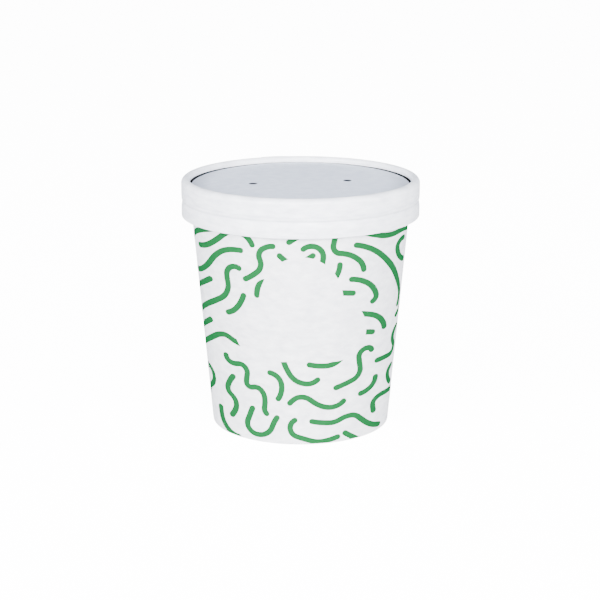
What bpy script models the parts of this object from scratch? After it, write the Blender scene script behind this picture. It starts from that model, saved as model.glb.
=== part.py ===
"""A paper soup container of about half a litre, shut with its paper lid.

The cup is a cone of white paperboard with a rolled rim, and its bottom disc is set up inside the foot.
The lid is a band with a rounded crest, and a disc with two steam vents that sits just below the crest.
The shut pack can't be seen into, so the cup is one filled solid out to its wall.

Metres, +Z up. The origin is the middle of the foot, on the surface that the container stands on.
"""

import math

import bmesh
import bpy

MM = 0.001

# Overall sizes
HEIGHT = 105.7 * MM
LID_RADIUS = 50.0 * MM
CUP_HEIGHT = 100.3 * MM
FOOT_RADIUS = 37.75 * MM
WALL_SLOPE = 0.088  # how far the wall leans out for each unit of height, about 5 degrees

# Cup
ROLL_RADIUS = 1.5 * MM  # the rolled rim's own radius
ROLL_REACH = 49.0 * MM  # the rolled rim's outer edge
FOOT_WALL = 1.5 * MM  # the folded foot is three layers of board thick
FOOT_ROUND = 0.4 * MM
RECESS_DEPTH = 7.0 * MM

# Cup base
BASE_THICKNESS = 0.5 * MM

# Lid band
SKIRT_HEIGHT = 15.85 * MM
SKIRT_THICKNESS = 0.7 * MM
SKIRT_ROUND = 0.3 * MM
CREST_WIDTH = 3.6 * MM
CREST_OUTER_ROUND = 1.4 * MM
CREST_INNER_ROUND = 1.0 * MM
CREASE_DROP = 8.9 * MM  # from the top of the lid down to the crease under the rolled rim
CREASE_DEPTH = 0.28 * MM
CREASE_BITE = 0.35 * MM  # height over which the crease goes in
CREASE_RETURN = 2.0 * MM  # height over which the band eases out again
LEDGE_WIDTH = 1.5 * MM  # the band's inner fold, which carries the disc
LEDGE_THICKNESS = 0.6 * MM

# Lid disc
DISC_RADIUS = 45.8 * MM
DISC_DROP = 2.45 * MM  # from the top of the lid down to the disc
DISC_EDGE_ROUND = 0.3 * MM
VENT_RADIUS = 1.4 * MM
VENT_REACH = 20.1 * MM  # from the lid's middle to a vent's middle
VENT_TURN = math.radians(9.7)  # how far the line through the vents is turned from +X

CLEARANCE = 0.3 * MM  # left between pieces that touch
TURN_STEPS = 96
CORNER_STEPS = 4
EDGE_STEPS = 2  # for the small rounds on cut and folded edges
VENT_SIDES = 24

PARTS = "paper_soup_container"
CUTTERS = "cutters"


def clear_scene():
    for thing in list(bpy.data.objects):
        bpy.data.objects.remove(thing, do_unlink=True)


def collection(name):
    made = bpy.data.collections.new(name)
    bpy.context.scene.collection.children.link(made)
    return made


def paper(name, colour, roughness):
    """Uncoated board: no metal, hardly any gloss."""
    material = bpy.data.materials.new(name)
    material.use_nodes = True
    shader = material.node_tree.nodes["Principled BSDF"]
    shader.inputs["Base Color"].default_value = (*colour, 1.0)
    shader.inputs["Roughness"].default_value = roughness
    shader.inputs["Metallic"].default_value = 0.0
    return material


def arc(centre, radius, start, end, steps=CORNER_STEPS):
    """Points (r, z) on a round corner, from one angle to the other, in degrees counted from +r towards +z."""
    points = []
    for i in range(steps + 1):
        angle = math.radians(start + (end - start) * i / steps)
        points.append((centre[0] + radius * math.cos(angle), centre[1] + radius * math.sin(angle)))
    return points


def turned(name, profile, closed, material, group):
    """A profile of (r, z) points, screwed once round Z. It runs down its outer side, from top to bottom."""
    mesh = bpy.data.meshes.new(name)
    shape = bmesh.new()
    corners = [shape.verts.new((r, 0.0, z)) for r, z in profile]
    for first, second in zip(corners, corners[1:]):
        shape.edges.new((first, second))
    if closed:
        shape.edges.new((corners[-1], corners[0]))
    shape.to_mesh(mesh)
    shape.free()
    piece = bpy.data.objects.new(name, mesh)
    group.objects.link(piece)
    mesh.materials.append(material)
    screw = piece.modifiers.new("Turn", "SCREW")
    screw.axis = "Z"
    screw.angle = math.tau
    screw.steps = TURN_STEPS
    screw.render_steps = TURN_STEPS
    screw.use_merge_vertices = True
    screw.merge_threshold = 0.00001
    screw.use_smooth_shade = True
    return piece


def wall_radius(z):
    """The cup wall's outer radius at a height."""
    return FOOT_RADIUS + WALL_SLOPE * z


def recess_radius(z):
    """The inner radius of the folded foot, which leans as the wall does."""
    return wall_radius(z) - FOOT_WALL


def make_cup(group):
    """The board cup: rolled rim, straight leaning wall, and a foot folded round the recess under the base."""
    roll_middle = (ROLL_REACH - ROLL_RADIUS, CUP_HEIGHT - ROLL_RADIUS)
    roll_bottom = CUP_HEIGHT - 2 * ROLL_RADIUS
    outer_corner = (wall_radius(FOOT_ROUND) - FOOT_ROUND, FOOT_ROUND)
    inner_corner = (recess_radius(FOOT_ROUND) + FOOT_ROUND, FOOT_ROUND)
    profile = [(0.0, CUP_HEIGHT)]
    profile += arc(roll_middle, ROLL_RADIUS, 90, -90, 2 * CORNER_STEPS)
    profile.append((wall_radius(roll_bottom), roll_bottom))
    profile += arc(outer_corner, FOOT_ROUND, 0, -90, EDGE_STEPS)
    profile += arc(inner_corner, FOOT_ROUND, -90, -180, EDGE_STEPS)
    profile.append((recess_radius(RECESS_DEPTH), RECESS_DEPTH))
    profile.append((0.0, RECESS_DEPTH))
    return turned("cup", profile, False, paper("cup_paper", (0.86, 0.86, 0.87), 0.7), group)


def make_cup_base(group):
    """The bottom disc, held in the foot against the cup's floor."""
    top = RECESS_DEPTH - CLEARANCE
    bottom = top - BASE_THICKNESS
    edge = recess_radius(bottom) - CLEARANCE
    profile = [(0.0, top), (edge, top), (edge, bottom), (0.0, bottom)]
    return turned("cup_base", profile, False, paper("base_paper", (0.85, 0.85, 0.85), 0.75), group)


def make_lid_band(group):
    """The lid's band: rounded crest, skirt with a crease under the cup's rolled rim, and the disc's ledge."""
    inner = LID_RADIUS - CREST_WIDTH
    ledge_edge = inner - LEDGE_WIDTH
    seat = CUP_HEIGHT + CLEARANCE
    ledge_top = seat + LEDGE_THICKNESS
    crease_top = HEIGHT - CREASE_DROP
    hem = HEIGHT - SKIRT_HEIGHT
    skirt_inner = LID_RADIUS - SKIRT_THICKNESS
    profile = [(ledge_edge, ledge_top), (inner, ledge_top)]
    profile += arc((inner + CREST_INNER_ROUND, HEIGHT - CREST_INNER_ROUND), CREST_INNER_ROUND, 180, 90)
    profile += arc((LID_RADIUS - CREST_OUTER_ROUND, HEIGHT - CREST_OUTER_ROUND), CREST_OUTER_ROUND, 90, 0)
    profile.append((LID_RADIUS, crease_top))
    profile.append((LID_RADIUS - CREASE_DEPTH, crease_top - CREASE_BITE))
    profile.append((LID_RADIUS - CREASE_DEPTH / 4, crease_top - CREASE_BITE - CREASE_RETURN / 2))
    profile.append((LID_RADIUS, crease_top - CREASE_BITE - CREASE_RETURN))
    profile += arc((LID_RADIUS - SKIRT_ROUND, hem + SKIRT_ROUND), SKIRT_ROUND, 0, -90, EDGE_STEPS)
    profile += [(skirt_inner, hem), (skirt_inner, seat), (ledge_edge, seat)]
    return turned("lid_band", profile, True, paper("lid_paper", (0.87, 0.87, 0.88), 0.7), group)


def make_lid_disc(group, cutters):
    """The disc inside the crest: its edge is turned down onto the ledge, and two vents go right through."""
    top = HEIGHT - DISC_DROP
    bottom = CUP_HEIGHT + 2 * CLEARANCE + LEDGE_THICKNESS
    profile = [(0.0, top)]
    edge = (DISC_RADIUS - DISC_EDGE_ROUND, top - DISC_EDGE_ROUND)
    profile += arc(edge, DISC_EDGE_ROUND, 90, 0, EDGE_STEPS)
    profile += [(DISC_RADIUS, bottom), (0.0, bottom)]
    disc = turned("lid_disc", profile, False, paper("disc_paper", (0.87, 0.87, 0.88), 0.7), group)
    across = (VENT_REACH * math.cos(VENT_TURN), VENT_REACH * math.sin(VENT_TURN))
    for number, side in enumerate((1, -1), 1):
        middle = (side * across[0], side * across[1], (top + bottom) / 2)
        cutter = vent_cutter(f"vent_cutter_{number}", middle, 2 * (top - bottom), cutters)
        cut = disc.modifiers.new(f"Vent {number}", "BOOLEAN")
        cut.operation = "DIFFERENCE"
        cut.solver = "EXACT"
        cut.object = cutter
    return disc


def vent_cutter(name, middle, length, group):
    mesh = bpy.data.meshes.new(name)
    shape = bmesh.new()
    bmesh.ops.create_cone(
        shape,
        cap_ends=True,
        segments=VENT_SIDES,
        radius1=VENT_RADIUS,
        radius2=VENT_RADIUS,
        depth=length,
    )
    shape.to_mesh(mesh)
    shape.free()
    cutter = bpy.data.objects.new(name, mesh)
    cutter.location = middle
    cutter.hide_render = True
    cutter.display_type = "WIRE"
    group.objects.link(cutter)
    return cutter


def main():
    clear_scene()
    parts = collection(PARTS)
    cutters = collection(CUTTERS)
    make_cup(parts)
    make_cup_base(parts)
    make_lid_band(parts)
    make_lid_disc(parts, cutters)
    bpy.context.view_layer.update()


main()
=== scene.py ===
# %% [markdown]
# # A paper soup container, shut with its paper lid
#
# This is a takeaway pot of about half a litre. A cone of white board is glued up one side, rolled over at
# its rim and folded in at its foot, where it holds a bottom disc. The lid is a band with a rounded crest,
# and a disc with two steam vents lies just below the crest. Green strokes are printed round the cup.
#
# The solid model already fixes every outer size. This lesson loads it, builds each paper piece again with
# the thin walls, folds and laps of real board, and then prints, paints and lights it.

# %% Load the solid model
import math

import bmesh
import bpy
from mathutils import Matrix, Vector


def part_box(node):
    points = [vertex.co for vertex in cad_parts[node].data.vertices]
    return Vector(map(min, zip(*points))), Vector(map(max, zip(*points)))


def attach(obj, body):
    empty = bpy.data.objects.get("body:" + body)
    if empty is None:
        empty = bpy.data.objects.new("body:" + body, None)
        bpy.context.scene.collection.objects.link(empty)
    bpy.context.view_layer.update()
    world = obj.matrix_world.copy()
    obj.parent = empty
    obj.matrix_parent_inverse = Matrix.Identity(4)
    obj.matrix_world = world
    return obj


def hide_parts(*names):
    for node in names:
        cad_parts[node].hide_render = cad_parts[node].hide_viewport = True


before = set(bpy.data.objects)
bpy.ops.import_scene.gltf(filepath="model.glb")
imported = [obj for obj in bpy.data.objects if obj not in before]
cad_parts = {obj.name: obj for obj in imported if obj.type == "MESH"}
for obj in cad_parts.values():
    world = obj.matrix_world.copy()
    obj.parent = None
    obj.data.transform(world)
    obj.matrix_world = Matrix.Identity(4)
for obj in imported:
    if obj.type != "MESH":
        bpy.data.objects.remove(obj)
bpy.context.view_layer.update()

# %% [markdown]
# ## Sizes
#
# The boxes of the solid nodes give the heights and the outer radii. The few sizes that a box can't tell,
# such as the foot's radius and how far the wall leans, are named here. Everything is in millimetres until
# it becomes geometry, because paper is easier to think about that way.

# %% Read the main sizes from the nodes' boxes
MM = 0.001


def box_in_mm(node):
    """The lowest and highest corner of a solid node, in millimetres."""
    low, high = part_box(node)
    return low / MM, high / MM


CUP_TOP = box_in_mm("cup")[1].z
ROLL_REACH = box_in_mm("cup")[1].x
BASE_UNDERSIDE = box_in_mm("cup_base")[0].z
BASE_TOP = box_in_mm("cup_base")[1].z
LID_HEM = box_in_mm("lid_band")[0].z
LID_TOP = box_in_mm("lid_band")[1].z
LID_RADIUS = box_in_mm("lid_band")[1].x
DISC_UNDERSIDE = box_in_mm("lid_disc")[0].z
DISC_TOP = box_in_mm("lid_disc")[1].z
DISC_RADIUS = box_in_mm("lid_disc")[1].x

FOOT_RADIUS = 37.75
WALL_SLOPE = 0.088
BOARD = 0.35  # one layer of the board
FOOT_WALL = 1.5  # the folded foot: wall, the bottom disc's rim and the fold
SIDES = 256  # enough for the rim to look round in a close view
SAME_PLACE = 0.01  # two points nearer than this are taken as one


def wall_radius(z):
    """The outer radius of the cup's wall at a height."""
    return FOOT_RADIUS + WALL_SLOPE * z


print("wall leans", round(math.degrees(math.atan(WALL_SLOPE)), 2), "degrees")

# %% [markdown]
# ## How a round paper piece is made
#
# Every piece but the print is turned: its cross-section goes once round the axis. By hand, that is one
# vertex, extruded from corner to corner of the section, and then the Spin tool. A cylinder primitive cut
# to shape would also work, but a rolled rim and a fold are far easier to draw as a section.

# %% Draw a section and spin it


def arc(centre, radius, start, end, steps=8):
    """Points (r, z) on a round corner, from one angle to the other, in degrees counted from +r towards +z."""
    points = []
    for i in range(steps + 1):
        angle = math.radians(start + (end - start) * i / steps)
        points.append((centre[0] + radius * math.cos(angle), centre[1] + radius * math.sin(angle)))
    return points


def single_vertex(name):
    """A new mesh object in edit mode, with one vertex at the origin: a small plane merged to its middle."""
    bpy.ops.object.select_all(action="DESELECT")
    bpy.ops.mesh.primitive_plane_add(size=MM)
    piece = bpy.context.object
    piece.name = name
    bpy.ops.object.mode_set(mode="EDIT")
    bpy.ops.mesh.select_all(action="SELECT")
    bpy.ops.mesh.merge(type="CENTER")
    return piece


def extrude_along(section):
    """Moves the selected vertex to the section's first point, and extrudes it through the others."""
    corners = [Vector((r * MM, 0.0, z * MM)) for r, z in section]
    bpy.ops.transform.translate(value=corners[0])
    for here, there in zip(corners, corners[1:]):
        bpy.ops.mesh.extrude_region_move(TRANSFORM_OT_translate={"value": there - here})


def turned(name, section):
    """Spins a closed section once round Z. Its ends meet, and so do the points on the axis."""
    piece = single_vertex(name)
    extrude_along(section)
    bpy.ops.mesh.select_all(action="SELECT")
    bpy.ops.mesh.spin(steps=SIDES, angle=math.tau, center=(0, 0, 0), axis=(0, 0, 1))
    bpy.ops.mesh.select_all(action="SELECT")
    bpy.ops.mesh.remove_doubles(threshold=0.002 * MM)
    bpy.ops.mesh.normals_make_consistent(inside=False)
    bpy.ops.object.mode_set(mode="OBJECT")
    return piece


def select_faces(piece, wanted):
    """In edit mode, selects the faces whose middle passes the test, and no others."""
    bpy.ops.mesh.select_all(action="DESELECT")
    shape = bmesh.from_edit_mesh(piece.data)
    for face in shape.faces:
        if wanted(face.calc_center_median()):
            face.select_set(True)
    bmesh.update_edit_mesh(piece.data)


def report(piece):
    """Prints how many triangles a piece has, and whether it is closed."""
    shape = bmesh.new()
    shape.from_mesh(piece.data)
    open_edges = sum(1 for edge in shape.edges if not edge.is_manifold)
    triangles = sum(len(face.verts) - 2 for face in shape.faces)
    volume = shape.calc_volume(signed=True) / MM**3
    shape.free()
    print(f"{piece.name}: {triangles} triangles, {open_edges} open edges, {volume:.0f} cubic mm")


# %% [markdown]
# ## The lap of a glued seam
#
# A paper wall is a flat blank whose ends are lapped and glued. Outside, the lap shows as one fine line:
# the cut edge of the outer layer, a third of a millimetre high. Away from the edge the outer layer comes
# down gently. The mesh gets two columns of vertices close together at the cut edge, with Bisect on the
# faces there alone, and the lapped side is then lifted along its normals.

# %% Lift one side of a seam
LAP = 7.0  # how wide the glued lap is
LAP_EASE = 6.0  # the stretch over which the outer layer comes down again
EDGE_WIDTH = 0.06  # how far apart the two columns are
BISECT_SNAP = 0.001  # the tool's own value is wider than the gap between the columns


def seam_distance(point, seam_angle):
    """How far a point is past the cut edge, in millimetres along the surface, within a half turn."""
    angle = math.atan2(point.y, point.x) - seam_angle
    angle = (angle + math.pi) % math.tau - math.pi
    return angle * math.hypot(point.x, point.y) / MM


def lap_lift(past, step):
    """How high the outer layer stands, in millimetres, at a distance past the cut edge."""
    if not -LAP - LAP_EASE < past < EDGE_WIDTH / 3:
        return 0.0
    share = min(1.0, (past + LAP + LAP_EASE) / LAP_EASE)
    return step * share * share * (3 - 2 * share)


def glue_seam(piece, seam_angle, step, is_outside):
    """Makes the cut edge and the lap of a seam. is_outside says which vertices lie on the outer layer."""
    bpy.ops.object.select_all(action="DESELECT")
    bpy.context.view_layer.objects.active = piece
    piece.select_set(True)
    bpy.ops.object.mode_set(mode="EDIT")
    for shift in (0.0, EDGE_WIDTH / ROLL_REACH):
        select_faces(piece, lambda middle: abs(seam_distance(middle, seam_angle)) < LAP)
        across = (-math.sin(seam_angle + shift), math.cos(seam_angle + shift), 0.0)
        bpy.ops.mesh.bisect(plane_co=(0, 0, 0), plane_no=across, threshold=BISECT_SNAP * MM)
    bpy.ops.object.mode_set(mode="OBJECT")
    moves = []
    for vertex in piece.data.vertices:
        lift = lap_lift(seam_distance(vertex.co, seam_angle), step)
        if lift and is_outside(vertex.co / MM):
            moves.append((vertex, vertex.normal * lift * MM))
    for vertex, move in moves:
        if vertex.co.z < MM:
            move.z = 0.0
        vertex.co += move
    print(piece.name, "seam at", round(math.degrees(seam_angle)), "degrees,", len(moves), "vertices lifted")


# %% [markdown]
# ## The cup
#
# The section starts on top of the rolled rim, goes over the roll and down the leaning wall, round the
# folded foot, and up inside it to the fold's cut edge. From there it goes up the inside of the wall,
# because the cup is hollow and the vents look into it. The slot round the lid's disc and the board round the
# vents get a painted shade.

# %% Turn the cup's wall
ROLL_RADIUS = 1.5
FOOT_ROUND = 0.4
FOLD_TOP = 5.4  # the cut edge of the folded foot, seen from below
WALL_ROWS = (97.2, 1.5)  # rows just inside the wall's ends, so that its normals there are its own
CUP_SEAM = math.radians(90)  # at the back
CUP_SEAM_STEP = 0.33
OUTER_LAYER = 0.45  # how far below the wall's face a vertex still belongs to the lap


def fold_radius(z):
    """The inner face of the folded foot, which leans as the wall does."""
    return wall_radius(z) - FOOT_WALL


roll_middle = (ROLL_REACH - ROLL_RADIUS, CUP_TOP - ROLL_RADIUS)
cup_section = arc(roll_middle, ROLL_RADIUS, 90, -140, 20)
cup_section += [(wall_radius(z), z) for z in WALL_ROWS]
cup_section += arc((wall_radius(FOOT_ROUND) - FOOT_ROUND, FOOT_ROUND), FOOT_ROUND, 0, -90, 5)
cup_section += arc((fold_radius(FOOT_ROUND) + FOOT_ROUND, FOOT_ROUND), FOOT_ROUND, -90, -180, 5)
cup_section += [(fold_radius(FOLD_TOP) + 0.02, FOLD_TOP - 0.08), (fold_radius(FOLD_TOP) + 0.10, FOLD_TOP)]
cup_section += [(fold_radius(FOLD_TOP) + 2.1 * BOARD, FOLD_TOP)]
cup_section += [(fold_radius(BASE_TOP) + 2.1 * BOARD, BASE_TOP)]
cup_section += [(wall_radius(BASE_TOP + 1.6) - BOARD, BASE_TOP + 1.6)]
cup_section += [(roll_middle[0] - ROLL_RADIUS, roll_middle[1])]
cup_section += arc(roll_middle, ROLL_RADIUS, 170, 90, 6)

cup = turned("paper_cup", cup_section)
report(cup)

# %% Glue the cup's side seam
glue_seam(cup, CUP_SEAM, CUP_SEAM_STEP, lambda at: math.hypot(at.x, at.y) > wall_radius(at.z) - OUTER_LAYER)
report(cup)

# %% [markdown]
# ## The bottom disc
#
# Inside the foot, a flat disc has its edge turned down between the wall and the fold. From below, its
# rounded bend shows just above the fold's cut edge.

# %% Turn the bottom disc
BEND = 0.7

rim_in = fold_radius(BASE_UNDERSIDE) + BOARD
rim_out = rim_in + BOARD
rim_foot = FOLD_TOP + 0.05
base_section = [(0.0, BASE_UNDERSIDE)]
base_section += arc((rim_in - BEND, rim_foot), BASE_UNDERSIDE - rim_foot, 90, 0, 8)
base_section += [(rim_out, rim_foot), (rim_out, BASE_TOP - BEND)]
base_section += arc((rim_out - BEND, BASE_TOP - BEND), BEND, 0, 90, 6)
base_section += [(0.0, BASE_TOP)]
base = turned("paper_base", base_section)
report(base)

# %% [markdown]
# ## The lid's band
#
# The band is a strip wound into a ring. Its top is rolled over into a round crest, and its lower part hangs
# as a skirt. A crease presses it in under the cup's rolled rim, so that the lid snaps on: it goes in
# steeply and eases out again, which shows as a darker line with a paler stretch below it. Inside the
# crest the strip turns under, goes down into the cup's mouth and folds up again, and the disc lies there.

# %% Turn the lid's band
CREST_WIDTH = 3.6
CREST_OUTER_ACROSS, CREST_OUTER_DOWN = 2.3, 2.1  # the crest's round shoulder
CREST_INNER_ACROSS, CREST_INNER_DOWN = 1.3, 1.75
GROOVE_TOP = DISC_TOP - 0.08  # where the crest turns under, beside the disc
GROOVE_REACH = 47.9
CREASE = LID_TOP - 8.9
CREASE_DEPTH = 0.48
SKIRT_BOARD = 0.7
HEM_ROUND = 0.33
SEAT = CUP_TOP + 0.3
LIP_FOOT = CUP_TOP - 3.9
BOW = 0.6  # how far the disc sinks at its left and right
BAND_SEAM = math.radians(111)  # at the back, to the left of the middle as the photograph has it
BAND_SEAM_STEP = 0.16

crest_inner = LID_RADIUS - CREST_WIDTH
skirt_inner = LID_RADIUS - SKIRT_BOARD
lip_outer = wall_radius(LIP_FOOT) - BOARD - 0.15
fold_outer = lip_outer - 2 * BOARD


def oval_arc(centre, across, down, start, end, steps):
    """An arc stretched to different sizes across and down."""
    points = arc((0.0, 0.0), 1.0, start, end, steps)
    return [(centre[0] + across * r, centre[1] + down * z) for r, z in points]


def crease_points():
    """Down the skirt past the crease: a slight lean in, a steep bite, and a long return."""
    points = [(LID_RADIUS, CREASE + 2.6), (LID_RADIUS - 0.03, CREASE + 1.3)]
    points += [(LID_RADIUS - 0.08, CREASE + 0.55), (LID_RADIUS - 0.20, CREASE + 0.25)]
    points += [(LID_RADIUS - 0.38, CREASE - 0.10)]
    points += [(LID_RADIUS - CREASE_DEPTH, CREASE - 0.42)]
    for i in range(1, 8):
        share = i / 7
        points.append((LID_RADIUS - CREASE_DEPTH * (1 - share) ** 1.7, CREASE - 0.42 - 3.0 * share))
    return points


band_section = [(lip_outer + 0.3, SEAT + 0.35), (GROOVE_REACH, SEAT + 0.35), (GROOVE_REACH, GROOVE_TOP - 0.4)]
band_section += [(crest_inner + 0.6, GROOVE_TOP - 0.05), (crest_inner + 0.12, GROOVE_TOP)]
inner_middle = (crest_inner + CREST_INNER_ACROSS, LID_TOP - CREST_INNER_DOWN)
outer_middle = (LID_RADIUS - CREST_OUTER_ACROSS, LID_TOP - CREST_OUTER_DOWN)
band_section += oval_arc(inner_middle, CREST_INNER_ACROSS, CREST_INNER_DOWN, 200, 90, 14)
band_section += oval_arc(outer_middle, CREST_OUTER_ACROSS, CREST_OUTER_DOWN, 90, 0, 14)
band_section += crease_points()
band_section += arc((LID_RADIUS - HEM_ROUND, LID_HEM + HEM_ROUND), HEM_ROUND, 0, -180, 8)
band_section += [(skirt_inner, SEAT), (lip_outer + 0.4, SEAT), (lip_outer + 0.1, SEAT - 0.6)]
band_section += [(lip_outer, LIP_FOOT + 0.2), (lip_outer - 0.2, LIP_FOOT)]
band_section += [(fold_outer - BOARD + 0.2, LIP_FOOT), (fold_outer - BOARD, LIP_FOOT + 0.2)]
band_section += [(fold_outer - BOARD, DISC_UNDERSIDE), (fold_outer, DISC_UNDERSIDE)]
band_section += [(fold_outer, LIP_FOOT + BOARD), (lip_outer - BOARD, LIP_FOOT + BOARD)]
band_section += [(lip_outer - BOARD, SEAT - 0.7), band_section[0]]
band = turned("lid_ring", band_section)
report(band)

# %% Let the crease wander a little, as hand-pressed board does
LONG_WANDER, SHORT_WANDER = 0.10, 0.05  # how far it goes up and down, in a long wave and a short one
WANDER_MIDDLE = CREASE - 0.5
WANDER_REACH = 3.2  # how far above and below the crease the board goes along
SKIRT_FACE = LID_RADIUS - 0.6  # what lies outside this radius is the skirt's outer face

for vertex in band.data.vertices:
    off_middle = vertex.co.z / MM - WANDER_MIDDLE
    if vertex.co.xy.length / MM < SKIRT_FACE or abs(off_middle) > WANDER_REACH:
        continue
    angle = math.atan2(vertex.co.y, vertex.co.x)
    wander = LONG_WANDER * math.sin(3 * angle + 0.7) + SHORT_WANDER * math.sin(11 * angle + 2.0)
    vertex.co.z += wander * (1 - (off_middle / WANDER_REACH) ** 2) * MM

# %% Glue the band's seam


def on_band_outside(at):
    """The crest, the ring's inner wall and the skirt down to its hem, but not the lip in the cup's mouth."""
    reach = math.hypot(at.x, at.y)
    return reach > skirt_inner + 0.15 or (reach > crest_inner - 0.05 and at.z > GROOVE_TOP + 0.2)


glue_seam(band, BAND_SEAM, BAND_SEAM_STEP, on_band_outside)
report(band)

# %% [markdown]
# ## The lid's disc
#
# The disc is one layer of board with its edge turned down. Two steam vents are punched through it. They
# are cut with a Boolean, because a round hole in a flat disc has no better tool. Each is also relieved
# from below, so that only a thin edge of board shows, and the faces under the disc get a painted shade, so
# that the hole looks dark. Last, the disc
# is bowed: it sinks a little to the left and right, where a gap opens beside the crest and shows its painted
# shade.

# %% Turn the disc
VENT_RADIUS = 1.8
VENT_RELIEF = 3.2
VENT_EDGE = 0.06  # how thick the board is at the hole
PUNCH_ABOVE, PUNCH_BELOW = 1.0, 2.0  # how far a punch goes past the disc's top face
VENT_REACH = 20.1
VENT_TURN = math.radians(9.7)
VENT_SIDES = 48
EDGE_ROUND = 0.3
RINGS = (12.0, 30.0, 38.0, 43.0)  # circles on the flat, so that it bends and shades evenly

disc_section = [(0.0, DISC_TOP)] + [(ring, DISC_TOP) for ring in RINGS] + [(DISC_RADIUS - 0.8, DISC_TOP)]
disc_section += arc((DISC_RADIUS - EDGE_ROUND, DISC_TOP - EDGE_ROUND), EDGE_ROUND, 90, 0, 5)
disc_section += [(DISC_RADIUS, DISC_UNDERSIDE + BOW), (DISC_RADIUS - BOARD, DISC_UNDERSIDE + BOW)]
disc_section += [(DISC_RADIUS - BOARD, DISC_TOP - BOARD - 0.2), (DISC_RADIUS - BOARD - 0.2, DISC_TOP - BOARD)]
disc_section += [(ring, DISC_TOP - BOARD) for ring in reversed(RINGS)] + [(0.0, DISC_TOP - BOARD)]
disc = turned("lid_top", disc_section)


# %% Punch the two vents
def cut_away(piece, cutter):
    """Takes the cutter's shape out of the piece, and removes the cutter."""
    bpy.ops.object.select_all(action="DESELECT")
    bpy.context.view_layer.objects.active = piece
    piece.select_set(True)
    cut = piece.modifiers.new("Cut", "BOOLEAN")
    cut.operation = "DIFFERENCE"
    cut.solver = "EXACT"
    cut.object = cutter
    bpy.ops.object.modifier_apply(modifier=cut.name)
    bpy.data.objects.remove(cutter, do_unlink=True)


def punch(side, radius, top, bottom):
    """Cuts one round hole, on the right (side 1) or on the left (side -1), between two heights."""
    reach = side * VENT_REACH * MM
    middle = (reach * math.cos(VENT_TURN), reach * math.sin(VENT_TURN), (top + bottom) / 2 * MM)
    bpy.ops.object.select_all(action="DESELECT")
    bpy.ops.mesh.primitive_cylinder_add(
        vertices=VENT_SIDES, radius=radius * MM, depth=(top - bottom) * MM, location=middle
    )
    cut_away(disc, bpy.context.object)


for side in (1, -1):
    punch(side, VENT_RELIEF, DISC_TOP - VENT_EDGE, DISC_TOP - PUNCH_BELOW)
    punch(side, VENT_RADIUS, DISC_TOP + PUNCH_ABOVE, DISC_TOP - PUNCH_BELOW)

# %% Bow the disc
for vertex in disc.data.vertices:
    vertex.co.z -= BOW * MM * (vertex.co.x / (DISC_RADIUS * MM)) ** 2
report(disc)

# %% [markdown]
# ## The print
#
# In the photograph the lines keep one width right out to the cup's sides, so the pattern was laid on from
# the front. The strokes are therefore drawn on a flat sheet that stands in front of the cup, and wrapped
# round it afterwards. Each stroke is the path of a pen with a round nib. The nib is an edge as long as the
# line is wide, and Spin carries it along one arc after another. An arc is settled by the way the pen is
# heading and by the point it has to reach.

# %% From the blank to the sheet in front of the cup
LEAN = math.atan(WALL_SLOPE)
APEX_DEPTH = FOOT_RADIUS / WALL_SLOPE  # how far below the foot the cone's apex is
SLANT = APEX_DEPTH / math.cos(LEAN)  # the same distance along the wall
STEADY_FROM = math.radians(58)  # further round than this, the stretch of the pattern grows no more


def sheet_share(angle):
    """How far out on the sheet an angle round the cup is, as a share of the cup's radius there."""
    if abs(angle) <= STEADY_FROM:
        return math.sin(angle)
    share = math.sin(STEADY_FROM) + (abs(angle) - STEADY_FROM) * math.cos(STEADY_FROM)
    return math.copysign(share, angle)


def cup_angle(share):
    """The way back: the angle round the cup that belongs to a share of its radius."""
    if abs(share) <= math.sin(STEADY_FROM):
        return math.asin(share)
    angle = STEADY_FROM + (abs(share) - math.sin(STEADY_FROM)) / math.cos(STEADY_FROM)
    return math.copysign(angle, share)


def from_blank(x, y):
    """Where a point of the unrolled blank is on the sheet, in metres."""
    along = math.hypot(x, y + SLANT)
    angle = math.atan2(x, y + SLANT) / math.sin(LEAN)
    return Vector((along * math.sin(LEAN) * sheet_share(angle), along - SLANT, 0.0)) * MM


# %% Carry the nib along an arc
NIB = 2.4  # the width of a printed line
ARC_STEP = 1.2  # how far apart the crosswise edges of a stroke are
ARC_TURN = 8  # the most degrees that the pen turns from one edge to the next
END_STEPS = 8  # for the half circle at a stroke's end
INK_TOP = 0.04  # how far the ink stands proud of the board
INK_ROOT = 0.05  # how far it reaches into the board, so that no gap shows


def on_sheet(x, y, height=0.0):
    """A point on the flat sheet, in metres."""
    return Vector((x * MM, y * MM, height * MM))


def start_nib(at, heading):
    """A new stroke in edit mode: the nib as one edge across the heading, selected."""
    stroke = single_vertex("stroke")
    across = Vector((-math.sin(heading), math.cos(heading), 0.0)) * NIB * MM
    bpy.ops.transform.translate(value=at - across / 2)
    bpy.ops.mesh.extrude_region_move(TRANSFORM_OT_translate={"value": across})
    bpy.ops.mesh.select_all(action="SELECT")
    return stroke


def carry_nib(here, there, heading):
    """Spins the selected nib from here to there, and returns the new heading."""
    chord = there - here
    bend = math.atan2(chord.y, chord.x) - heading
    bend = (bend + math.pi) % math.tau - math.pi
    steps = max(1, math.ceil(chord.length / MM / ARC_STEP))
    if abs(bend) < 1e-3:
        for _ in range(steps):
            bpy.ops.mesh.extrude_region_move(TRANSFORM_OT_translate={"value": chord / steps})
        return heading
    radius = chord.length / (2 * math.sin(bend))
    centre = here + radius * Vector((-math.sin(heading), math.cos(heading), 0.0))
    steps = max(steps, math.ceil(math.degrees(abs(2 * bend)) / ARC_TURN))
    bpy.ops.mesh.spin(steps=steps, angle=-2 * bend, center=centre, axis=(0, 0, 1))
    return heading + 2 * bend


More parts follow.
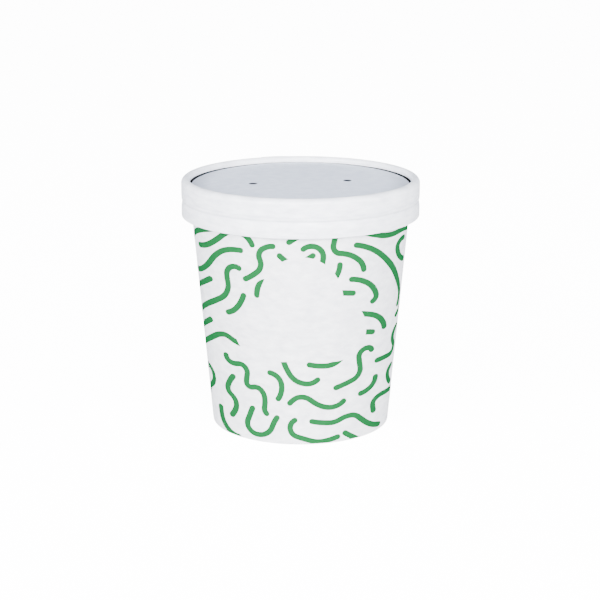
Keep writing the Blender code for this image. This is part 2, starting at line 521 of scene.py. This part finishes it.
def select_at(stroke, places):
    """In edit mode, selects the vertices at the given places."""
    bpy.ops.mesh.select_all(action="DESELECT")
    shape = bmesh.from_edit_mesh(stroke.data)
    for vertex in shape.verts:
        if any((vertex.co - place).length < SAME_PLACE * MM for place in places):
            vertex.select_set(True)
    shape.select_flush(True)
    bmesh.update_edit_mesh(stroke.data)


# %% Round off a stroke's end
def round_end(stroke, at, heading):
    """Spins the nib's right-hand corner half round its middle, and fills the half disc."""
    across = Vector((-math.sin(heading), math.cos(heading), 0.0)) * NIB * MM / 2
    forward = Vector((math.cos(heading), math.sin(heading), 0.0))
    select_at(stroke, [at - across])
    bpy.ops.mesh.spin(steps=END_STEPS, angle=-math.pi, center=at, axis=(0, 0, 1))
    bpy.ops.mesh.select_all(action="SELECT")
    bpy.ops.mesh.remove_doubles(threshold=0.005 * MM)
    bpy.ops.mesh.select_all(action="DESELECT")
    shape = bmesh.from_edit_mesh(stroke.data)
    for vertex in shape.verts:
        from_middle = vertex.co - at
        on_circle = abs(from_middle.length - across.length) < SAME_PLACE * MM
        if on_circle and from_middle.dot(forward) > -SAME_PLACE * MM:
            vertex.select_set(True)
    shape.select_flush(True)
    bmesh.update_edit_mesh(stroke.data)
    bpy.ops.mesh.edge_face_add()


def draw_stroke(start_heading, points):
    """One stroke as a thin closed slab on the flat sheet. Its points are read on the cup's unrolled blank."""
    first_x, first_y = points[0]
    turn = math.radians(start_heading)
    corners = [from_blank(x, y) for x, y in points]
    ahead = from_blank(first_x + 0.1 * math.cos(turn), first_y + 0.1 * math.sin(turn)) - corners[0]
    first_heading = math.atan2(ahead.y, ahead.x)
    heading = first_heading
    stroke = start_nib(corners[0], heading)
    for here, there in zip(corners, corners[1:]):
        heading = carry_nib(here, there, heading)
    round_end(stroke, corners[-1], heading)
    round_end(stroke, corners[0], first_heading + math.pi)
    bpy.ops.mesh.select_all(action="SELECT")
    bpy.ops.transform.translate(value=on_sheet(0, 0, -INK_ROOT))
    bpy.ops.mesh.extrude_region_move(TRANSFORM_OT_translate={"value": on_sheet(0, 0, INK_ROOT + INK_TOP)})
    bpy.ops.mesh.select_all(action="SELECT")
    bpy.ops.mesh.normals_make_consistent(inside=False)
    bpy.ops.object.mode_set(mode="OBJECT")
    return stroke


# %% [markdown]
# The cup's wall is a cone, and a cone unrolls flat without stretching, into part of a ring. The strokes
# below lie on that blank: x runs to the right from the middle of the front, y up the wall from the foot,
# both in millimetres. Each has the pen's first heading in degrees, and then the points that it passes.
# The points were picked along the lines in the photograph, and worked back to the blank through
# the camera at the end of this file.

# %% The strokes on the front
STROKES = {
    "t1": (40, [(-68, 75.6), (-57, 82.4), (-48, 85.9), (-33, 91.2)]),
    "t2": (12, [(-53, 77.7), (-44, 80.8), (-36.5, 85.6), (-27.5, 91.4)]),
    "t3": (8, [(-66, 63.4), (-49.4, 69), (-43, 74), (-36.7, 79.2), (-31, 81.6), (-25.4, 82.3)]),
    "t4": (
        155,
        [(-26.4, 74.5), (-31.2, 73.8), (-32.9, 70.4), (-32.4, 67.4), (-32.3, 65.2), (-36.8, 59.3),
         (-62, 45.3)],
    ),
    "t5": (28, [(-23.2, 70.6), (-17.8, 74.4), (-16.7, 79.8), (-15.4, 84.4), (-11.2, 85.8)]),
    "t6": (-20, [(-24.6, 89.6), (-20, 85.5)]),
    "t7": (-45, [(-8.4, 82.1), (-4.2, 79)]),
    "t8": (35, [(-4.6, 87.9), (-0.9, 90.4), (3, 93)]),
    "t9": (92, [(-18.1, 64.4), (-17.6, 68), (-13.9, 70.6)]),
    "t10": (250, [(-24.3, 63.2), (-27.6, 57.5), (-32.6, 54.1)]),
    "t11": (209, [(-44.3, 65.5), (-49.8, 62.6), (-62, 56.8)]),
    "t12": (211, [(-46, 46.8), (-50.6, 44.2), (-62, 37.8)]),
    "b1": (27, [(-63, 29.6), (-42, 41), (-37.4, 43), (-32.5, 43.1), (-23, 41.5)]),
    "b2": (
        275,
        [(-34.9, 34.4), (-31.6, 32), (-28, 32.4), (-24, 31.6), (-23.2, 28.6), (-23.6, 25.4), (-20.4, 23.7),
         (-16.8, 23.2), (-15.1, 20), (-15.2, 15.6), (-14.3, 12.9)],
    ),
    "b3": (226, [(-30.9, 25.9), (-34.3, 20.7), (-32.3, 17.3), (-29.4, 14.1), (-29.9, 11.2), (-32.1, 8.1)]),
    "b4": (46, [(-57.7, 20.9), (-46.8, 21.8), (-49.4, 15.9), (-56.3, 9.6)]),
    "b5": (268, [(-40.6, 8.8), (-39.6, 4.2), (-35.2, 0.4), (-28.6, -0.8)]),
    "b6": (247, [(-20.8, 14.2), (-23.2, 8.2), (-19.1, 2.8), (-11.9, 7.2), (-9.8, 11.7)]),
    "b7": (-8, [(-12.7, 31.4), (-7.8, 26.6), (-9.2, 20.2)]),
    "b8": (285, [(-7.4, 38.4), (-4.6, 31.6), (2.4, 27.2), (7, 28.8)]),
    "b9": (50, [(-4.4, 18.6), (-2.4, 20.5), (0.2, 21.4), (4.2, 19.9), (8.6, 17), (12.8, 16), (18.4, 17.9)]),
    "b10": (212, [(-2.4, 11), (-4.3, 7.6), (-1.4, 3.6), (4.6, 1.6), (10, 1.1), (15.8, 2.2)]),
    "b11": (-14, [(4.7, 10.4), (12, 9.1), (17, 9.9), (21.9, 10.7), (26, 8.9), (31, 4.8), (39.6, 0.9)]),
    "b12": (-38, [(19.3, 3.3), (28, -2.4)]),
    "b13": (-15, [(3.6, 35.6), (10.5, 34.6), (17.5, 37.6)]),
    "b14": (
        14,
        [(14.9, 24.4), (22.6, 26.4), (26.3, 31.4), (25.6, 35.6), (27.4, 38.6), (30.2, 39), (32.6, 37.5)],
    ),
    "b15": (2, [(26.9, 19.3), (32.6, 20.6), (35.7, 24.3)]),
    "b16": (112, [(35.2, 8.9), (34.5, 11.7), (36.3, 14), (42.2, 14.3), (49.7, 13), (56, 11)]),
    "b17": (-4, [(36.5, 31.5), (46.5, 30.4), (51.4, 34.4), (55.6, 40.6)]),
    "b18": (183, [(50.6, 24.2), (46.6, 21.6), (50.5, 16.4)]),
    "b19": (-70, [(-62, 8), (-55.5, -1)]),
    "r1": (40, [(1.1, 85.1), (7.2, 85.3), (9.1, 81), (8.4, 77)]),
    "r2": (214, [(4.9, 82.3), (2, 80.4)]),
    "r3": (255, [(15, 93), (13.3, 86.4), (16.2, 82.4), (21.4, 80.7), (25.1, 78), (27.2, 73.9)]),
    "r4": (-14, [(23.4, 84.9), (37, 77.9), (48, 67.3), (54.4, 58.6), (54.2, 50.8)]),
    "r5": (-22, [(19.5, 92.6), (26, 90), (36, 86.5), (48, 84.8), (66, 81)]),
    "r6": (167, [(55.9, 80), (49.2, 77.8), (57.8, 70)]),
    "r7": (-92, [(16.1, 77.6), (14.2, 72.4)]),
    "r8": (-6, [(14, 65.9), (22.2, 64.6)]),
    "r9": (-8, [(21.4, 70.7), (29.4, 67.6), (34.3, 61.6), (32.4, 59)]),
    "r10": (-8, [(22.6, 55.6), (32, 53.2), (40.8, 45.3)]),
    "r11": (-5, [(24, 47), (32.8, 45.3)]),
    "r12": (8, [(53, 46.4), (62, 48.6)]),
}
CUT_BY_OVAL = ("t7", "t9", "r1", "r2", "r7", "r8")
CUT_BY_BLOCK = ("b1", "b8", "b13", "r8", "r10", "r11")
print(len(STROKES), "strokes on the front")

# %% [markdown]
# In the middle of the front the printer leaves a bare clearing: an upright oval over a low block with
# round ends. Strokes that run into either stop at its edge. The clearing is a pair of upright cutters.

# %% Cut the clearing
OVAL_MIDDLE = (0.3, 62.0)
OVAL_HALF = (17.0, 19.7)
BLOCK_LEFT, BLOCK_RIGHT = -27.0, 26.9
BLOCK_FOOT, BLOCK_TOP = 36.9, 65.8
BLOCK_ROUND = 14.4
BLOCK_HANG = 2.6  # how much lower its ends are on the sheet, because it is level as seen from in front
BLOCK_COLUMN = 3.0  # how far apart its own columns are, so that it can hang in a curve
CUTTER_HEIGHT = 6.0


def oval_cutter():
    """The upright oval: a round cutter, stretched."""
    bpy.ops.object.select_all(action="DESELECT")
    bpy.ops.mesh.primitive_cylinder_add(vertices=96, radius=MM, depth=CUTTER_HEIGHT * MM)
    cutter = bpy.context.object
    bpy.ops.transform.resize(value=(OVAL_HALF[0], OVAL_HALF[1], 1.0))
    cutter.location = on_sheet(*OVAL_MIDDLE)
    bpy.ops.object.transform_apply(location=True, rotation=True, scale=True)
    return cutter


def block_cutter():
    """The low block: a box with its upright edges rounded, whose ends then hang a little."""
    bpy.ops.object.select_all(action="DESELECT")
    bpy.ops.mesh.primitive_cube_add(size=MM)
    cutter = bpy.context.object
    cutter.scale = (BLOCK_RIGHT - BLOCK_LEFT, BLOCK_TOP - BLOCK_FOOT, CUTTER_HEIGHT)
    cutter.location = on_sheet((BLOCK_LEFT + BLOCK_RIGHT) / 2, (BLOCK_FOOT + BLOCK_TOP) / 2)
    bpy.ops.object.transform_apply(location=True, rotation=True, scale=True)
    bpy.ops.object.mode_set(mode="EDIT")
    bpy.ops.mesh.select_all(action="DESELECT")
    bpy.ops.mesh.select_mode(type="EDGE")
    shape = bmesh.from_edit_mesh(cutter.data)
    for edge in shape.edges:
        if abs(edge.verts[0].co.z - edge.verts[1].co.z) > MM:
            edge.select_set(True)
    bmesh.update_edit_mesh(cutter.data)
    bpy.ops.mesh.bevel(offset=BLOCK_ROUND * MM, segments=12, affect="EDGES")
    bpy.ops.mesh.select_mode(type="VERT")
    for i in range(-4, 5):
        bpy.ops.mesh.select_all(action="SELECT")
        bpy.ops.mesh.bisect(plane_co=on_sheet(BLOCK_COLUMN * i, 0.0), plane_no=(1, 0, 0))
    bpy.ops.object.mode_set(mode="OBJECT")
    for vertex in cutter.data.vertices:
        vertex.co.y -= BLOCK_HANG * MM * (vertex.co.x / (BLOCK_RIGHT * MM)) ** 2
    return cutter


def join_strokes(name, strokes):
    """Makes one piece of all the strokes."""
    bpy.ops.object.select_all(action="DESELECT")
    for stroke in strokes:
        stroke.select_set(True)
    bpy.context.view_layer.objects.active = strokes[0]
    bpy.ops.object.join()
    strokes[0].name = name
    return strokes[0]


front_strokes = []
for stroke_name, (heading, points) in STROKES.items():
    stroke = draw_stroke(heading, points)
    if stroke_name in CUT_BY_OVAL:
        cut_away(stroke, oval_cutter())
    if stroke_name in CUT_BY_BLOCK:
        cut_away(stroke, block_cutter())
    front_strokes.append(stroke)
front_print = join_strokes("print_front", front_strokes)
report(front_print)

# %% [markdown]
# The photograph doesn't show the back. There the same strokes run on, half a turn round, and a few more
# fill the place where the front has its clearing.

# %% The strokes on the back
BACK_ONLY = {
    "f1": (-75, [(-9.4, 75.6), (-7.6, 70.5), (-11, 65.5), (-9.6, 62)]),
    "f2": (15, [(-3.2, 74), (2.4, 73), (4.2, 67.8), (1, 63.6), (1.8, 58.6)]),
    "f3": (62, [(7.6, 61), (10.6, 67.6)]),
    "f4": (200, [(-14.6, 59.6), (-21.2, 57.4), (-26.2, 52.6)]),
    "f5": (-20, [(-3.4, 54.2), (3, 52.2), (9.4, 55), (15.2, 59)]),
    "f6": (-40, [(-21, 50.2), (-15.8, 47.4), (-11.6, 50.6), (-7.4, 49)]),
    "f7": (160, [(-12.2, 43.2), (-18.2, 42.8)]),
    "f8": (-10, [(-4.6, 44.2), (1.2, 43), (5.6, 45.8), (11, 46.6)]),
    "f9": (100, [(18.6, 46.4), (17.2, 52.4)]),
    "f10": (-30, [(13.4, 42.2), (19, 40.6), (24, 41.4)]),
}
back_strokes = [draw_stroke(heading, points) for heading, points in STROKES.values()]
back_strokes += [draw_stroke(heading, points) for heading, points in BACK_ONLY.values()]
back_print = join_strokes("print_back", back_strokes)
report(back_print)

# %% [markdown]
# Wrapping: a point's height on the sheet is its distance up the wall, and its reach from the middle
# settles its angle. First the strokes are sliced upright, so that no face is so wide that the round wall
# would come through it.

# %% Wrap the print round the cup
SLICE = 1.2
SLICES_EACH_WAY = 45  # they reach 54 mm to each side, past the end of every stroke


def slice_upright(piece):
    """Cuts the flat print into narrow upright strips."""
    bpy.ops.object.select_all(action="DESELECT")
    bpy.context.view_layer.objects.active = piece
    piece.select_set(True)
    bpy.ops.object.mode_set(mode="EDIT")
    for i in range(-SLICES_EACH_WAY, SLICES_EACH_WAY + 1):
        bpy.ops.mesh.select_all(action="SELECT")
        bpy.ops.mesh.bisect(plane_co=on_sheet(i * SLICE, 0.0), plane_no=(1, 0, 0))
    bpy.ops.object.mode_set(mode="OBJECT")


def wrapped(point, turn):
    """Where a point of the sheet ends up on the cup, turned round the cup by an angle."""
    x, y, height = point / MM
    along = y + SLANT
    radius = along * math.sin(LEAN)
    angle = cup_angle(x / radius) + turn
    outward = Vector((math.sin(angle), -math.cos(angle), 0.0))
    normal = outward * math.cos(LEAN) - Vector((0.0, 0.0, math.sin(LEAN)))
    on_wall = outward * radius + Vector((0.0, 0.0, along * math.cos(LEAN) - APEX_DEPTH))
    return (on_wall + normal * height) * MM


def wrap(piece, turn):
    """Lays a flat print round the cup."""
    slice_upright(piece)
    for vertex in piece.data.vertices:
        vertex.co = wrapped(vertex.co, turn)
    piece.data.update()


wrap(front_print, 0.0)
wrap(back_print, math.pi)
report(front_print)
report(back_print)

# %% [markdown]
# The print stops where the board does: at the rounded edge of the foot, and at the glued seam, where the
# outer layer's cut edge shows a narrow bare line. Bisect trims it there and fills the cut. The print on
# the lap is then lifted just as the board under it was.

# %% Trim the print at the foot and at the seam
FOOT_TRIM = FOOT_ROUND
SEAM_BARE = 0.25  # bare board on each side of the cut edge


def trim(piece, plane_point, plane_normal):
    """Cuts off what lies on the side that the normal points to."""
    bpy.ops.object.select_all(action="DESELECT")
    bpy.context.view_layer.objects.active = piece
    piece.select_set(True)
    bpy.ops.object.mode_set(mode="EDIT")
    bpy.ops.mesh.select_all(action="SELECT")
    snap = BISECT_SNAP * MM
    bpy.ops.mesh.bisect(
        plane_co=plane_point, plane_no=plane_normal, use_fill=True, clear_outer=True, threshold=snap
    )
    bpy.ops.mesh.select_all(action="SELECT")
    bpy.ops.mesh.normals_make_consistent(inside=False)
    bpy.ops.object.mode_set(mode="OBJECT")


trim(front_print, (0, 0, FOOT_TRIM * MM), (0, 0, -1))
trim(back_print, (0, 0, FOOT_TRIM * MM), (0, 0, -1))
bpy.ops.object.select_all(action="DESELECT")
back_print.select_set(True)
bpy.context.view_layer.objects.active = back_print
bpy.ops.object.duplicate()
under_print = bpy.context.object
under_print.name = "print_under_seam"
trim(back_print, (SEAM_BARE * MM, 0, 0), (-1, 0, 0))
trim(under_print, (-SEAM_BARE * MM, 0, 0), (1, 0, 0))
for vertex in back_print.data.vertices:
    lift = lap_lift(seam_distance(vertex.co, CUP_SEAM), CUP_SEAM_STEP)
    outward = Vector((vertex.co.x, vertex.co.y, 0.0)).normalized()
    vertex.co += outward * lift * MM
for piece in (front_print, back_print, under_print):
    report(piece)

# %% [markdown]
# ## Finishes
#
# Plain board is matt, and never quite even: its fibres lie in every direction, and it is a little greyer
# and bluer in some places than in others, in soft blotches that are wider than they are high. Two noises
# do that, both on Object coordinates, so that the grain keeps one size on every piece. The ink is thin, so
# it follows the board's grain and is a little uneven itself. The groove round the disc and the disc's hidden
# faces get a painted shade: a near-black board.

# %% Board and ink
GRAIN_SIZE = 0.35
GRAIN_STRENGTH = 0.5
NOISE_DETAIL, NOISE_ROUGHNESS = 5.0, 0.6
DEEP_AT, PALE_AT = 0.3, 0.7  # the noise's values that give the two tones
UNEVEN = 0.06  # how much the roughness wanders to either side


def finish(name, pale, deep, patch_size, flatness, grain_height, roughness, shine=0.3):
    """A matt finish that wanders between two tones, with a fine grain. Flatness narrows the blotches in Z."""
    material = bpy.data.materials.new(name)
    material.use_nodes = True
    nodes = material.node_tree.nodes
    links = material.node_tree.links
    shader = nodes["Principled BSDF"]
    shader.inputs["Specular IOR Level"].default_value = shine
    place = nodes.new("ShaderNodeTexCoord")

    lie = nodes.new("ShaderNodeMapping")
    lie.inputs["Scale"].default_value = (1.0, 1.0, flatness)
    links.new(place.outputs["Object"], lie.inputs["Vector"])
    patches = nodes.new("ShaderNodeTexNoise")
    patches.inputs["Scale"].default_value = 1 / (patch_size * MM)
    patches.inputs["Detail"].default_value = NOISE_DETAIL
    patches.inputs["Roughness"].default_value = NOISE_ROUGHNESS
    links.new(lie.outputs["Vector"], patches.inputs["Vector"])

    tones = nodes.new("ShaderNodeValToRGB")
    tones.color_ramp.elements[0].position = DEEP_AT
    tones.color_ramp.elements[0].color = (*deep, 1.0)
    tones.color_ramp.elements[1].position = PALE_AT
    tones.color_ramp.elements[1].color = (*pale, 1.0)
    links.new(patches.outputs["Fac"], tones.inputs["Fac"])
    links.new(tones.outputs["Color"], shader.inputs["Base Color"])

    dullness = nodes.new("ShaderNodeMapRange")
    dullness.inputs["To Min"].default_value = roughness - UNEVEN
    dullness.inputs["To Max"].default_value = roughness + UNEVEN
    links.new(patches.outputs["Fac"], dullness.inputs["Value"])
    links.new(dullness.outputs["Result"], shader.inputs["Roughness"])

    grain = nodes.new("ShaderNodeTexNoise")
    grain.inputs["Scale"].default_value = 1 / (GRAIN_SIZE * MM)
    grain.inputs["Detail"].default_value = NOISE_DETAIL
    grain.inputs["Roughness"].default_value = NOISE_ROUGHNESS
    links.new(place.outputs["Object"], grain.inputs["Vector"])

    bump = nodes.new("ShaderNodeBump")
    bump.inputs["Strength"].default_value = GRAIN_STRENGTH
    bump.inputs["Distance"].default_value = grain_height * MM
    links.new(grain.outputs["Fac"], bump.inputs["Height"])
    links.new(bump.outputs["Normal"], shader.inputs["Normal"])
    return material


CUP_BOARD = finish("cup_board", (0.86, 0.86, 0.88), (0.63, 0.63, 0.67), 5.0, 2.0, 0.02, 0.55)
LID_BOARD = finish("lid_board", (0.94, 0.95, 0.99), (0.69, 0.70, 0.76), 7.0, 4.0, 0.025, 0.34, 0.5)
# The disc's board is darker and bluer than the band's: a painted shade for the dimmer light on its flat top.
DISC_BOARD_PAINTED_SHADE = finish("disc_board_painted_shade", (0.73, 0.78, 0.89), (0.60, 0.65, 0.77), 4.0, 1.0, 0.025, 0.50, 0.4)
BASE_BOARD = finish("base_board", (0.88, 0.88, 0.88), (0.74, 0.74, 0.75), 2.6, 1.0, 0.03, 0.70)
# near-black board: painted shade for the groove beside the disc and for the disc's hidden faces
PAINTED_SHADE_BOARD = finish("painted_shade_board", (0.030, 0.030, 0.034), (0.020, 0.020, 0.023), 2.6, 1.0, 0.03, 0.85, 0.0)
GREEN_INK = finish("green_ink", (0.0066, 0.084, 0.0236), (0.0059, 0.077, 0.0215), 2.2, 1.0, 0.02, 0.7, 0.0)


# %% [markdown]
# Two places are darker than the board round them. The lid's crease gets a painted shade line, with some wear
# in it, and a fainter grey line runs above it. The disc's two sunken ends get a painted shade where the crest
# shades them. Each gets a second tone, multiplied over the board: by the distance in Z from a wobbling line,
# or by the distance from the lid's middle. A painted map would need unwrapping, while Object coordinates
# already measure both.

# %% Painted shade and wear: the lid's crease and the disc's rim
WOBBLE_SIZE = 6.0  # how long the waves of a wobbling line are
BOW_WEIGHT = 0.82  # front to back counts for less than left to right
RIM_PAINTED_SHADE_REACH = 9.0  # how far in from the disc's edge the shade is felt


def painted_shade_and_wear(material, nodes_for_place, nearest, furthest, tone):
    """Mixes a darker tone over the board, as painted shade and wear. It is full at one distance and gone at
    another.
    """
    nodes, links = material.node_tree.nodes, material.node_tree.links
    shader = nodes["Principled BSDF"]
    board = shader.inputs["Base Color"].links[0].from_socket
    share = nodes.new("ShaderNodeMapRange")
    share.interpolation_type = "SMOOTHSTEP"
    share.inputs["From Min"].default_value = nearest * MM
    share.inputs["From Max"].default_value = furthest * MM
    share.inputs["To Min"].default_value = 1.0
    share.inputs["To Max"].default_value = 0.0
    links.new(nodes_for_place(nodes, links), share.inputs["Value"])
    mix = nodes.new("ShaderNodeMix")
    mix.data_type = "RGBA"
    mix.blend_type = "MULTIPLY"
    share_in, under, over = mix.inputs[0], mix.inputs[6], mix.inputs[7]  # a colour mix's own sockets
    over.default_value = (*tone, 1.0)
    links.new(share.outputs["Result"], share_in)
    links.new(board, under)
    links.new(mix.outputs[2], shader.inputs["Base Color"])


def off_the_line(height, wobble):
    """Distance in Z from a line round the piece that wobbles a little."""
    def build(nodes, links):
        place = nodes.new("ShaderNodeTexCoord")
        noise = nodes.new("ShaderNodeTexNoise")
        noise.inputs["Scale"].default_value = 1 / (WOBBLE_SIZE * MM)
        links.new(place.outputs["Object"], noise.inputs["Vector"])
        parts = nodes.new("ShaderNodeSeparateXYZ")
        links.new(place.outputs["Object"], parts.inputs["Vector"])
        line = nodes.new("ShaderNodeMapRange")
        line.inputs["To Min"].default_value = (height - wobble) * MM
        line.inputs["To Max"].default_value = (height + wobble) * MM
        links.new(noise.outputs["Fac"], line.inputs["Value"])
        off = nodes.new("ShaderNodeMath")
        off.operation = "SUBTRACT"
        links.new(parts.outputs["Z"], off.inputs[0])
        links.new(line.outputs["Result"], off.inputs[1])
        size = nodes.new("ShaderNodeMath")
        size.operation = "ABSOLUTE"
        links.new(off.outputs["Value"], size.inputs[0])
        return size.outputs["Value"]

    return build


def along_the_bow(nodes, links):
    """Distance from the lid's middle, counted most towards the disc's two sunken ends."""
    place = nodes.new("ShaderNodeTexCoord")
    flat = nodes.new("ShaderNodeMapping")
    flat.inputs["Scale"].default_value = (1.0, BOW_WEIGHT, 0.0)
    links.new(place.outputs["Object"], flat.inputs["Vector"])
    length = nodes.new("ShaderNodeVectorMath")
    length.operation = "LENGTH"
    links.new(flat.outputs["Vector"], length.inputs[0])
    return length.outputs["Value"]


# The crease's line is painted shade with some wear. A fainter grey line runs 1.5 mm above it.
painted_shade_and_wear(LID_BOARD, off_the_line(CREASE - 0.15, 0.3), 0.1, 0.75, (0.85, 0.85, 0.87))
painted_shade_and_wear(LID_BOARD, off_the_line(CREASE + 1.5, 0.9), 0.1, 0.6, (0.89, 0.89, 0.91))
# Painted shade on the disc's two sunken ends, where the crest shades them.
painted_shade_and_wear(DISC_BOARD_PAINTED_SHADE, along_the_bow, DISC_RADIUS, DISC_RADIUS - RIM_PAINTED_SHADE_REACH, (0.66, 0.66, 0.66))

# %% [markdown]
# ## Dress the model
#
# Each board piece takes the place of its solid node. All ride on the one body and get a finish. Smooth
# shading stops at real edges, which Shade Smooth by Angle tells by how sharply two faces meet.

# %% Put every piece in place
REAL_EDGE = math.radians(28)  # faces that meet more sharply than this show an edge
TURNED_DOWN = 0.3  # a face whose normal points up less than this hangs down the disc's edge


def dress(piece, material, node=None):
    """Shades a piece smooth, gives it its finish, and ties it to the frame."""
    bpy.ops.object.select_all(action="DESELECT")
    bpy.context.view_layer.objects.active = piece
    piece.select_set(True)
    bpy.ops.object.shade_smooth_by_angle(angle=REAL_EDGE)
    piece.data.materials.clear()
    piece.data.materials.append(material)
    if node:
        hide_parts(node)
    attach(piece, "root")


dress(cup, CUP_BOARD, "cup")
dress(base, BASE_BOARD, "cup_base")
dress(band, LID_BOARD, "lid_band")
dress(disc, DISC_BOARD_PAINTED_SHADE, "lid_disc")


def shade(piece, in_painted_shade):
    """Gives the near-black board of painted shade to the faces that pass the test."""
    piece.data.materials.append(PAINTED_SHADE_BOARD)
    for face in piece.data.polygons:
        if in_painted_shade(face):
            face.material_index = 1


# Painted shade: the groove beside the disc, and the disc's underside, vent walls and turned-down edge, get
# near-black board.
groove_limit = (GROOVE_REACH + 0.05) * MM
shade(band, lambda face: face.center.xy.length < groove_limit and face.center.z < GROOVE_TOP * MM)
shade(disc, lambda face: face.normal.z < TURNED_DOWN)
dress(front_print, GREEN_INK)
dress(back_print, GREEN_INK)
dress(under_print, GREEN_INK)

# %% [markdown]
# ## The studio
#
# A pale floor with a white glow that only the camera sees, a bright and slightly blue room that is dimmer
# overhead, and two soft lights low in front, the stronger one a little to the right. Faces that look
# forward are then brighter than the lid's flat top, and the cup's sides fall off as in the photograph. Two
# small lights further round give the lid's band its faint highlights.

# %% Floor
FLOOR_SIZE = 8.0
GLOW_GIVEN = 0.0  # what the floor sheds on the cup beyond the light it returns
GLOW_SEEN = 13.0  # how bright it looks to the camera

bpy.ops.object.select_all(action="DESELECT")
bpy.ops.mesh.primitive_plane_add(size=FLOOR_SIZE)
floor = bpy.context.object
floor.name = "floor"
floor_finish = bpy.data.materials.new("floor_paint")
floor_finish.use_nodes = True
floor_nodes = floor_finish.node_tree.nodes
floor_links = floor_finish.node_tree.links
floor_shader = floor_nodes["Principled BSDF"]
floor_shader.inputs["Base Color"].default_value = (0.80, 0.80, 0.80, 1.0)
floor_shader.inputs["Roughness"].default_value = 0.9
floor_shader.inputs["Specular IOR Level"].default_value = 0.0
floor_shader.inputs["Emission Color"].default_value = (1.0, 1.0, 1.0, 1.0)
ray = floor_nodes.new("ShaderNodeLightPath")
glow = floor_nodes.new("ShaderNodeMapRange")
glow.inputs["To Min"].default_value = GLOW_GIVEN
glow.inputs["To Max"].default_value = GLOW_SEEN
floor_links.new(ray.outputs["Is Camera Ray"], glow.inputs["Value"])
floor_links.new(glow.outputs["Result"], floor_shader.inputs["Emission Strength"])
floor.data.materials.append(floor_finish)

# %% Room
ROOM_LOW = 2.2
ROOM_HIGH = 0.8
ROOM_RISE = 0.4
ROOM_TINT = (0.88, 0.97, 1.14, 1.0)

room = bpy.data.worlds.new("room")
room.use_nodes = True
bpy.context.scene.world = room
room_nodes = room.node_tree.nodes
room_links = room.node_tree.links
direction = room_nodes.new("ShaderNodeTexCoord")
parts = room_nodes.new("ShaderNodeSeparateXYZ")
brightness = room_nodes.new("ShaderNodeMapRange")
brightness.interpolation_type = "SMOOTHSTEP"
brightness.inputs["From Min"].default_value = 0.0
brightness.inputs["From Max"].default_value = ROOM_RISE
brightness.inputs["To Min"].default_value = ROOM_LOW
brightness.inputs["To Max"].default_value = ROOM_HIGH
room_links.new(direction.outputs["Generated"], parts.inputs["Vector"])
room_links.new(parts.outputs["Z"], brightness.inputs["Value"])
background = room_nodes["Background"]
background.inputs["Color"].default_value = ROOM_TINT
room_links.new(brightness.outputs["Result"], background.inputs["Strength"])


# %% Soft lights
AIM_HEIGHT = 0.05
LIGHT_ELEVATION = 18
STRIP_ELEVATION = 16
LIGHT_DISTANCE = 1.7
LIGHT_SIZE, STRIP_SIZE = 0.8, 0.35


def soft_light(name, azimuth, elevation, distance, size, power):
    """A round light that looks at the cup. Azimuth is counted from the front, to the right."""
    around, up = math.radians(azimuth), math.radians(elevation)
    aim = Vector((0.0, 0.0, AIM_HEIGHT))
    level = distance * math.cos(up)
    place = aim + Vector((level * math.sin(around), -level * math.cos(around), distance * math.sin(up)))
    bpy.ops.object.light_add(type="AREA", location=place)
    light = bpy.context.object
    light.name = name
    light.data.shape = "DISK"
    light.data.size = size
    light.data.energy = power
    light.rotation_euler = (aim - place).to_track_quat("-Z", "Y").to_euler()


soft_light("right_light", 11, LIGHT_ELEVATION, LIGHT_DISTANCE, LIGHT_SIZE, 82.0)
soft_light("left_light", -32, LIGHT_ELEVATION, LIGHT_DISTANCE, LIGHT_SIZE, 44.0)
soft_light("right_strip", 48, STRIP_ELEVATION, LIGHT_DISTANCE, STRIP_SIZE, 27.0)
soft_light("left_strip", -52, STRIP_ELEVATION, LIGHT_DISTANCE, STRIP_SIZE, 25.0)

# %% [markdown]
# ## The camera
#
# Its place was worked out from the ellipses of the lid and the widths of the cup in the photograph: 0.70 m
# in front, 0.24 m up, looking down by 15 degrees, with a long lens.

# %% Camera
FRAME_PIXELS = 600
FOCAL_PIXELS = 1703.5
SENSOR = 36.0
AIM_PIXELS = 0.55
CAMERA_PLACE = (0.0, -0.7034, 0.2387)
LOOK_DOWN = 14.87

bpy.ops.object.camera_add(location=CAMERA_PLACE)
camera = bpy.context.object
camera.name = "camera"
camera.rotation_euler = (math.radians(90 - LOOK_DOWN), 0.0, AIM_PIXELS / FOCAL_PIXELS)
camera.data.sensor_width = SENSOR
camera.data.lens = FOCAL_PIXELS / FRAME_PIXELS * SENSOR
bpy.context.scene.camera = camera
